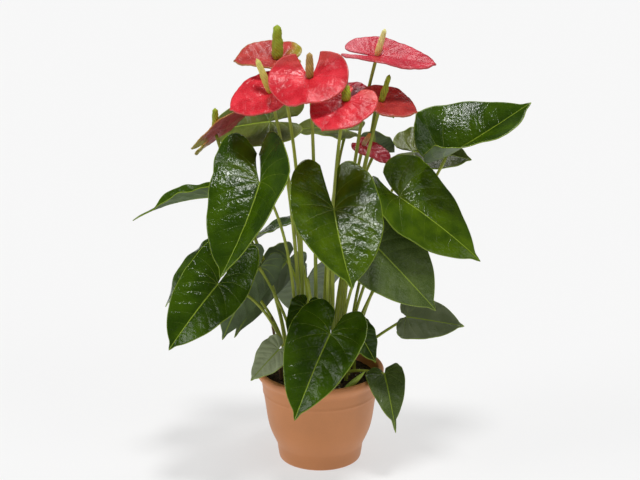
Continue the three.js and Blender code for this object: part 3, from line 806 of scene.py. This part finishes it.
def pot_profile(settings):
    """(radius, height) of the outside of the pot, from its base to the top of its lip."""
    rim, roll_foot = settings.rim_radius, settings.height - ROLL_HEIGHT
    heights = [FOOT_HEIGHT, (FOOT_HEIGHT + SHOULDER_HEIGHT) / 2 - 5 * MM, SHOULDER_HEIGHT,
               settings.height - BAND_HEIGHT]
    radii = [FOOT_RADIUS, (FOOT_RADIUS + SHOULDER_RADIUS) / 2 + 2.5 * MM, SHOULDER_RADIUS,
             (SHOULDER_RADIUS + rim) / 2 - 1 * MM]
    base = [(BASE_RADIUS - 2 * MM, 0), (BASE_RADIUS - 0.6 * MM, 0.6 * MM), (BASE_RADIUS, 2 * MM),
            (BASE_RADIUS + 1.4 * MM, 11 * MM)]
    wall = []
    steps = 54
    for step in range(steps + 1):
        place = 3 * step / steps
        radius, height = smooth(radii, place), smooth(heights, place)
        for ridge in RIDGE_HEIGHTS:
            radius += settings.ridge * bump(height - ridge, RIDGE_WIDTH)
        wall.append((radius, height))
    # The band swells out to the rim, and the lip's edge rolls over
    radius, height = wall[-1]
    swell, rise = rim - radius, roll_foot - height
    band = [(radius + swell * math.sin(share * math.pi / 2), height + rise * share)
            for share in (0.12, 0.25, 0.4, 0.6, 0.8, 1)]
    roll = [(rim - ROLL_DEPTH * (1 - math.cos(turn)), roll_foot + ROLL_HEIGHT * math.sin(turn))
            for turn in map(math.radians, (20, 40, 60, 80, 90))]
    return base + wall + band + roll


class ANTHURIUM_OT_pot(bpy.types.Operator):
    """Build the plastic pot"""

    bl_idname = "anthurium.pot"
    bl_label = "Pot"

    SIDES = 128
    FLOOR = 4 * MM

    def execute(self, context):
        settings = context.scene.anthurium_pot
        top, mouth = settings.height, settings.rim_radius - settings.lip
        outside = pot_profile(settings)
        lip = [(mouth + 1.4 * MM, top), (mouth + 0.4 * MM, top - 0.5 * MM), (mouth, top - 1.5 * MM),
               (mouth - 0.5 * MM, top - BAND_HEIGHT + 1 * MM)]
        inside = [(radius - settings.wall, height) for radius, height in reversed(outside)
                  if self.FLOOR + 2 * MM < height < top - BAND_HEIGHT - 2 * MM]
        floor = [(inside[-1][0] - 1 * MM, self.FLOOR), (0, self.FLOOR)]
        profile = [(0, 0), *outside, *lip, *inside, *floor]
        mesh = bmesh.new()
        corners = [mesh.verts.new((radius, 0, height)) for radius, height in profile]
        line = [mesh.edges.new(pair) for pair in zip(corners, corners[1:])]
        bmesh.ops.spin(
            mesh, geom=corners + line, cent=(0, 0, 0), axis=UP, angle=2 * math.pi, steps=self.SIDES,
            use_merge=True)
        close_up(mesh, 2e-6)
        for face in mesh.faces:
            face.smooth = True
        add_piece("plastic_pot", mesh, [make_plastic_material(settings)], "pot")
        return {"FINISHED"}


def soil_height(x, y, settings, level):
    """The height of the uneven soil; it rises a little round the plant's crown."""
    spot = Vector((x, y, 0))
    lumps = sum(share * noise.noise(spot / across)
                for share, across in ((1, 16 * MM), (0.6, 6 * MM), (0.4, 2.8 * MM)))
    return level + settings.unevenness * (0.55 * lumps + 0.8 * bump(spot.length, 40 * MM) - 0.3)


def scatter(count, seed, size_range, flatness, reach, height, lift):
    """Small lumps strewn over the soil, as one mesh."""
    rng = random.Random(seed)
    mesh = bmesh.new()
    for _ in range(count):
        distance = reach * math.sqrt(rng.random())
        turn = rng.uniform(0, 2 * math.pi)
        x, y = distance * math.cos(turn), distance * math.sin(turn)
        size = rng.uniform(*size_range) * rng.uniform(0.6, 1)
        stretch = Matrix.Diagonal((size, size * rng.uniform(0.45, 0.9), size * flatness, 1))
        tilt = Quaternion((rng.uniform(-1, 1), rng.uniform(-1, 1), 0.01), rng.uniform(0, 0.9))
        turned = (Quaternion(UP, rng.uniform(0, 2 * math.pi)) @ tilt).to_matrix().to_4x4()
        place = Matrix.Translation((x, y, height(x, y) + size * lift)) @ turned @ stretch
        lump = bmesh.ops.create_icosphere(mesh, subdivisions=1, radius=0.5, matrix=place)
        for vert in lump["verts"]:
            nudge = Vector((rng.uniform(-1, 1), rng.uniform(-1, 1), rng.uniform(-1, 1)))
            vert.co += nudge * size * 0.09
    return mesh


class ANTHURIUM_OT_soil(bpy.types.Operator):
    """Build the soil, with its crumbs, bark and mineral grains"""

    bl_idname = "anthurium.soil"
    bl_label = "Soil"

    def execute(self, context):
        settings = context.scene.anthurium_soil
        foot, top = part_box("soil")
        reach, level = top.x, top.z
        depth = level - foot.z

        def place(u, v):
            # The first rows of the sheet are the top, and the rest go down the side and under
            turn = 2 * math.pi * u
            if v <= 0.8:
                radius = reach * v / 0.8
                x, y = radius * math.cos(turn), radius * math.sin(turn)
                return Vector((x, y, soil_height(x, y, settings, level))), (u, v)
            down = (v - 0.8) / 0.2
            radius = reach * (1 - 0.3 * fade(0, 0.8, down)) if down < 0.9 else 0
            height = soil_height(reach * math.cos(turn), reach * math.sin(turn), settings, level)
            return Vector((radius * math.cos(turn), radius * math.sin(turn),
                           height - (height - level + depth) * min(1, down / 0.8))), (u, v)

        mesh = sheet(150, 100, place, ["length"])
        close_up(mesh)
        earth = make_crumbly_material("damp soil", settings.earth, settings.bark)
        add_piece("potting_soil", mesh, [earth], "soil")

        def height(x, y):
            return soil_height(x, y, settings, level)

        bark = make_crumbly_material("bark bits", settings.earth, tuple(1.4 * c for c in settings.bark))
        crumbs = scatter(settings.crumbs, 3, (2 * MM, 7 * MM), 0.6, reach - 4 * MM, height, 0.12)
        add_piece("soil_crumbs", crumbs, [bark], "soil")
        white = make_crumbly_material("mineral grains", (0.5, 0.48, 0.42), (0.8, 0.79, 0.74), 0.8)
        grains = scatter(settings.grains, 11, (1.6 * MM, 3.6 * MM), 0.8, reach - 5 * MM, height, 0.35)
        add_piece("mineral_grains", grains, [white], "soil")
        return {"FINISHED"}


# ---- Leaves and stalks --------------------------------------------------------------------------
def blade_mesh(blade, surface, columns=150, rows=34):
    """A blade as a polar sheet round its junction.

    surface gives how far a point is lifted, from its place on the flat blade, its ring from the junction
    out to the margin, its turn from the tip, and the side veins there.
    """

    def place(u, v):
        # Columns stand closer together towards the tip, and the lobes may close over the sinus
        w = 2 * u - 1
        ring = max(v, 0.002)
        sinus = blade.plant.sinus * (1 + blade.plant.close * (0.6 - 1.4 * ring))
        turn = (180 - sinus) * (0.6 * w + 0.4 * w ** 3)
        x, y = blade.flat(turn, ring)
        count, gap = blade.side_vein(x, y)
        edge = blade.length * blade.radius(turn) * (1 - v)
        lift = surface(blade, x, y, v, turn, count, gap)
        return blade.bent(x, y, lift), (x, y), (count, gap), (edge, v)

    mesh = sheet(columns, rows, place, ["flat", "veins", "margin"])
    bmesh.ops.remove_doubles(mesh, verts=mesh.verts, dist=0.15 * MM)
    mesh.faces.ensure_lookup_table()
    middle = mesh.faces[len(mesh.faces) // 2]
    middle.normal_update()
    if middle.normal.dot(blade.up) < 0:
        bmesh.ops.reverse_faces(mesh, faces=mesh.faces)
    return mesh


def waves(turn, *layers):
    """A wave along the margin, from layers of (height, waves in a whole turn, where it starts)."""
    return sum(height * math.sin(math.radians(turn) * number + start) for height, number, start in layers)


def leaf_surface(blade, x, y, ring, turn, count, gap):
    """Sunken veins, bulges between them, fine crinkles and a waving margin."""
    settings, seed = blade.settings, blade.seed
    spot = Vector((x, y, seed))
    near = fade(0.04, 0.3, ring) * fade(1.0, 0.8, ring)
    from_vein = abs(count - round(count))
    groove = bump(from_vein * gap, 1.3 * MM) * near
    rib = bump(x, 2.2 * MM) * fade(-1 * MM, 1 * MM, y) * (1 - 0.7 * ring)
    bulge = math.sin(math.pi * from_vein) ** 2 * near * fade(0, 12 * MM, abs(x))
    crinkle = noise.noise(spot / (13 * MM)) + 0.5 * noise.noise(spot / (6 * MM))
    return (settings.pucker * bulge - settings.vein_depth * (groove + 2.2 * rib)
            + settings.crinkle * blade.plant.crinkle * crinkle * fade(0.03, 0.25, ring)
            + settings.wave * waves(turn, (1, 5, seed * 7), (0.6, 11, seed * 3)) * ring ** 4)


def spathe_surface(blade, x, y, ring, turn, count, gap):
    """Puckers spreading from the junction, and a gently waving margin."""
    settings, seed = blade.settings, blade.seed
    from_vein = abs(count - round(count))
    spot = Vector((x, y, seed))
    quilt = 0.6 * noise.noise(spot / (16 * MM)) + 0.4 * noise.noise(spot / (6 * MM))
    ripple = 0.3 * math.sin(ring * 15 + 5 * noise.noise(spot / (25 * MM)))
    bulge = 0.5 * math.sin(math.pi * from_vein) ** 2
    return (settings.pucker * (0.7 * quilt + ripple + bulge) * fade(0.05, 0.3, ring)
            + settings.wave * waves(turn, (1, 4, seed * 5), (0.5, 9, seed)) * ring ** 4)


def give_thickness(piece, thickness):
    """Makes a sheet a thin shell whose underside takes the second material."""
    shell = piece.modifiers.new("Thickness", "SOLIDIFY")
    shell.thickness = thickness
    shell.offset = -1
    shell.material_offset = 1


def planted(heading, reach):
    """The point on the soil at a heading and a distance from the middle of the pot."""
    spot = direction(heading, 0) * reach
    spot.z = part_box("soil")[1].z
    return spot


def stalk_path(plant, end, arrival, steps):
    """The path of a stalk from the crown, rising steeply and then leaning over to where it ends.

    A stalk that reaches further out stands further from the middle of the crown.
    """
    crown = 10 * MM + 0.24 * math.hypot(end.x, end.y) + plant.root * MM
    root = planted(plant.azimuth + plant.foot, crown) + UP * 0.3 * MM
    run = (end - root).length
    points = interpolate_bezier(root, root + UP * run * 0.35, end - arrival * run * 0.3, end, steps)
    return [root - UP * 4 * MM, *points]


def stalk_radius(thickness, knee):
    """A stalk's radius along its way: stout at the foot, slim above, and swollen at a leaf's knee."""

    def radius(v):
        body = thickness / 2 * (1.12 - 0.3 * v + 0.35 * bump(v, 0.03))
        return body * (1 + knee * bump(v - 0.965, 0.03))

    return radius


class ANTHURIUM_OT_leaves(bpy.types.Operator):
    """Build the leaves, each a blade on its stalk"""

    bl_idname = "anthurium.leaves"
    bl_label = "Leaves"

    def execute(self, context):
        settings, stalks = context.scene.anthurium_leaves, context.scene.anthurium_stalks
        uppers = {name: make_leaf_material(f"{name} leaf", *looks, settings)
                  for name, looks in LEAF_FINISHES.items()}
        under = make_underside_material(settings)
        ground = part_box("soil")[1].z
        skin = make_stalk_material("leaf stalk", stalks.green, stalks.shade, ground, 60 * MM)
        for number, leaf in enumerate(LEAVES):
            blade = Blade(leaf, LEAF_MARGIN, settings, number * 1.7, vein_gap=0.155, basal_turn=36)
            short = leaf.name.removeprefix("leaf_")
            piece = add_piece(f"{short}_blade", blade_mesh(blade, leaf_surface),
                              [uppers[leaf.finish], under], leaf.name)
            give_thickness(piece, settings.thickness)
            end = blade.at - blade.up * settings.thickness
            path = stalk_path(leaf, end, direction(leaf.azimuth, -leaf.arrive), 44)
            mesh = tube(path, stalk_radius(stalks.leaf_stalk, 0.28), 14)
            add_piece(f"{short}_stalk", mesh, [skin], leaf.name)
        return {"FINISHED"}


# ---- Flowers ------------------------------------------------------------------------------------
def spadix_mesh(flower, blade, settings):
    """A tapering spike set all over with tiny flowers in crossing spirals."""
    length, thickness, heading, pitch = flower.spadix
    length, thickness = length * MM, thickness * MM
    axis = direction(heading, pitch)
    rows, sides = round(length / (0.6 * MM)), 78
    bend = blade.across * flower.bow * MM
    start = blade.at + blade.up * 0.2 * MM
    path = [start + axis * length * i / rows + bend * math.sin(math.pi * 0.9 * i / rows)
            for i in range(rows + 1)]
    frames = curve_frames(path)
    shape = [0.55, 0.88, 0.98, 1.0, 0.97, 0.93, 0.88, 0.82, 0.76, 0.66, 0.05]
    cells = math.pi * thickness * length / settings.pebble ** 2
    left_spirals, right_spirals = 8, 13
    rise_left, rise_right = cells / (2 * right_spirals), cells / (2 * left_spirals)

    def place(u, v):
        point, _, side, other = frames[round(v * rows)]
        slim = 1 + (flower.taper - 0.7) * v
        # The rounded tip ends on the axis
        rounding = math.sqrt(max(0, 1 - max(0, (v - 0.9) / 0.1) ** 2))
        body = smooth(shape, v * (len(shape) - 1)) * slim * rounding
        first = left_spirals * u + rise_left * v
        second = right_spirals * u - rise_right * v
        pebble = abs(math.cos(math.pi * first) * math.cos(math.pi * second)) ** 0.7
        around = Vector((math.cos(2 * math.pi * u), math.sin(2 * math.pi * u), blade.seed))
        lump = noise.noise(point / (7 * MM) + around)
        radius = body * thickness / 2 * (1 + flower.lumps * lump)
        radius += settings.pebble_height * (pebble - 0.6) * fade(1, 0.93, v)
        turn = 2 * math.pi * u
        spot = point + (side * math.cos(turn) + other * math.sin(turn)) * max(radius, 0)
        return spot, (u, v), (first, second)

    mesh = sheet(sides, rows, place, ["length", "pebbles"])
    close_up(mesh)
    return mesh


class ANTHURIUM_OT_flowers(bpy.types.Operator):
    """Build the flowers, each a spathe and a spadix on a stem"""

    bl_idname = "anthurium.flowers"
    bl_label = "Flowers"

    SLOTS = {"coral": "spathe", "pink": "spathe", "dull": "spathe_dull", "fading": "spathe_dull",
             "crimson": "spathe_crimson"}
    SPADIX_SLOTS = {"yellow": "spadix", "ochre": "spadix", "green": "spadix_green",
                    "cream": "spadix_pale", "white": "spadix_pale", "orange": "spadix_pale"}

    def execute(self, context):
        settings, stalks = context.scene.anthurium_flowers, context.scene.anthurium_stalks
        spathes = {name: make_spathe_material(f"{name} spathe", *looks, 0.28, 0.4)
                   for name, looks in SPATHE_FINISHES.items()}
        unders = {}
        for name, (dark, light, rim, lobes) in SPATHE_FINISHES.items():
            dark, light = tuple(0.8 * c + 0.02 for c in dark), tuple(0.7 * c + 0.05 for c in light)
            unders[name] = make_spathe_material(
                f"{name} spathe underside", dark, light, rim, lobes, 0.5, 0.25)
        spikes = {name: make_spadix_material(f"{name} spadix", *looks)
                  for name, looks in SPADIX_FINISHES.items()}
        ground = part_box("soil")[1].z
        skin = make_stalk_material("flower stem", stalks.green, stalks.shade, ground, 80 * MM)
        for number, flower in enumerate(FLOWERS):
            blade = Blade(flower, SPATHE_MARGIN, settings, 40 + number * 2.3, vein_gap=0.2, basal_turn=24)
            piece = add_piece(f"{flower.name}_spathe", blade_mesh(blade, spathe_surface, 120, 30),
                              [spathes[flower.finish], unders[flower.finish]],
                              f"spathe_{flower.name}")
            give_thickness(piece, settings.thickness)
            add_piece(f"{flower.name}_spadix", spadix_mesh(flower, blade, settings),
                      [spikes[flower.spike]], f"spadix_{flower.name}")
            end = blade.at - blade.up * settings.thickness * 0.8
            path = stalk_path(flower, end, direction(flower.azimuth, -flower.arrive), 56)
            mesh = tube(path, stalk_radius(stalks.flower_stem, 0.12), 16)
            add_piece(f"{flower.name}_stem", mesh, [skin], f"flower_stem_{flower.name}")
        return {"FINISHED"}


# ---- Young shoot and dry stalk ------------------------------------------------------------------
class ANTHURIUM_OT_shoots(bpy.types.Operator):
    """Build the rolled young shoot and the dry stump of an old stalk"""

    bl_idname = "anthurium.shoots"
    bl_label = "Shoot and stump"

    STEPS = 40

    def execute(self, context):
        settings = context.scene.anthurium_shoots
        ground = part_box("soil")[1].z
        axis = direction(0, -42)
        foot = planted(-62, 62 * MM)
        shape = [0.45, 0.72, 0.92, 1.0, 0.97, 0.86, 0.68, 0.42, 0.06]
        path = [foot + axis * settings.shoot_length * i / self.STEPS + UP * 3 * MM * (i / self.STEPS) ** 2
                for i in range(self.STEPS + 1)]

        def rolled(v):
            return settings.shoot_width / 2 * smooth(shape, v * (len(shape) - 1))

        young = make_stalk_material("young shoot", settings.young, settings.young_shade, ground, 8 * MM)
        add_piece("rolled_shoot", tube(path, rolled, 20), [young], "young_shoot")

        axis = direction(-172, -82)
        foot = planted(-165, 53 * MM)
        path = [foot + axis * settings.stump_length * i / self.STEPS
                + noise.noise_vector(Vector((0, 0, i / 9))) * 0.7 * MM for i in range(self.STEPS + 1)]

        def withered(v):
            wrinkles = 1 + 0.16 * noise.noise(Vector((5, 0, v * 22)))
            return settings.stump_width / 2 * (1.05 - 0.25 * v) * wrinkles

        dry = make_crumbly_material("dry stalk", settings.dry_shade, settings.dry, 0.85)
        add_piece("dry_stump", tube(path, withered, 12), [dry], "dry_stalk")
        return {"FINISHED"}


# ---- Stage --------------------------------------------------------------------------------------
def add_light(name, heading, height, strength, spread):
    """A large soft light far off: its heading and height above the horizon, and how wide it looks."""
    data = bpy.data.lights.new(name, "SUN")
    data.energy = strength
    data.angle = math.radians(spread)
    light = bpy.data.objects.new(name, data)
    light.rotation_euler = direction(heading, -height).to_track_quat("Z", "Y").to_euler()
    bpy.context.scene.collection.objects.link(light)


class ANTHURIUM_OT_stage(bpy.types.Operator):
    """Set up the floor, the lights and the camera"""

    bl_idname = "anthurium.stage"
    bl_label = "Stage"

    # name, heading, height above the horizon, which strength, share of it, how wide it looks
    LIGHTS = [
        ("top", -60, 80, "top", 1, 11),
        ("back", 70, 58, "fill", 1, 24),
        ("left", -165, 28, "fill", 1, 26),
        ("right", -35, 38, "fill", 0.4, 26),
    ]

    def execute(self, context):
        settings = context.scene.anthurium_stage
        scene = context.scene
        mesh = bmesh.new()
        bmesh.ops.create_circle(mesh, cap_ends=True, segments=64, radius=14)
        data = bpy.data.meshes.new("floor")
        mesh.to_mesh(data)
        mesh.free()
        floor = bpy.data.objects.new("floor", data)
        floor.location.z = cad_box[0].z - 0.2 * MM
        material, _, shader = new_material("floor")
        shader.inputs["Base Color"].default_value = (*settings.floor, 1)
        shader.inputs["Roughness"].default_value = 1
        shader.inputs["Specular IOR Level"].default_value = 0
        shader.inputs["Emission Color"].default_value = (1, 1, 1, 1)
        shader.inputs["Emission Strength"].default_value = settings.glow
        data.materials.append(material)
        scene.collection.objects.link(floor)

        world = bpy.data.worlds.new("studio")
        world.use_nodes = True
        sky = world.node_tree.nodes["Background"]
        sky.inputs["Color"].default_value = (1, 1, 1, 1)
        sky.inputs["Strength"].default_value = settings.daylight
        scene.world = world

        for name, heading, height, which, share, spread in self.LIGHTS:
            add_light(name, heading, height, getattr(settings, which) * share, spread)

        camera = bpy.data.objects.new("camera", bpy.data.cameras.new("camera"))
        camera.data.lens = settings.lens
        camera.data.sensor_width = 36
        camera.location = (0, -settings.distance, settings.eye_height)
        camera.rotation_euler = (math.pi / 2 - settings.look_down, 0, 0)
        scene.collection.objects.link(camera)
        scene.camera = camera
        scene.view_settings.view_transform = "Standard"
        return {"FINISHED"}


class ANTHURIUM_PT_panel(bpy.types.Panel):
    """Lists the pieces of the plant"""

    bl_label = "Anthurium"
    bl_space_type = "VIEW_3D"
    bl_region_type = "UI"
    bl_category = "Anthurium"

    def draw(self, context):
        for operator in OPERATORS:
            self.layout.operator(operator.bl_idname)
        for name, group in SETTINGS.items():
            box = self.layout.box()
            for prop in group.__annotations__:
                box.prop(getattr(context.scene, name), prop)


SETTINGS = {
    "anthurium_pot": AnthuriumPot,
    "anthurium_soil": AnthuriumSoil,
    "anthurium_leaves": AnthuriumLeaves,
    "anthurium_stalks": AnthuriumStalks,
    "anthurium_flowers": AnthuriumFlowers,
    "anthurium_shoots": AnthuriumShoots,
    "anthurium_stage": AnthuriumStage,
}
OPERATORS = [
    ANTHURIUM_OT_pot, ANTHURIUM_OT_soil, ANTHURIUM_OT_leaves, ANTHURIUM_OT_flowers, ANTHURIUM_OT_shoots,
    ANTHURIUM_OT_stage,
]


def register():
    for item in [*SETTINGS.values(), *OPERATORS, ANTHURIUM_PT_panel]:
        bpy.utils.register_class(item)
    for name, group in SETTINGS.items():
        setattr(bpy.types.Scene, name, PointerProperty(type=group))


def unregister():
    for name in SETTINGS:
        delattr(bpy.types.Scene, name)
    for item in reversed([*SETTINGS.values(), *OPERATORS, ANTHURIUM_PT_panel]):
        bpy.utils.unregister_class(item)


def main():
    register()
    make_mottle_group()
    make_vein_group()
    bpy.ops.anthurium.pot()
    bpy.ops.anthurium.soil()
    bpy.ops.anthurium.leaves()
    bpy.ops.anthurium.flowers()
    bpy.ops.anthurium.shoots()
    bpy.ops.anthurium.stage()


if __name__ == "__main__":
    main()
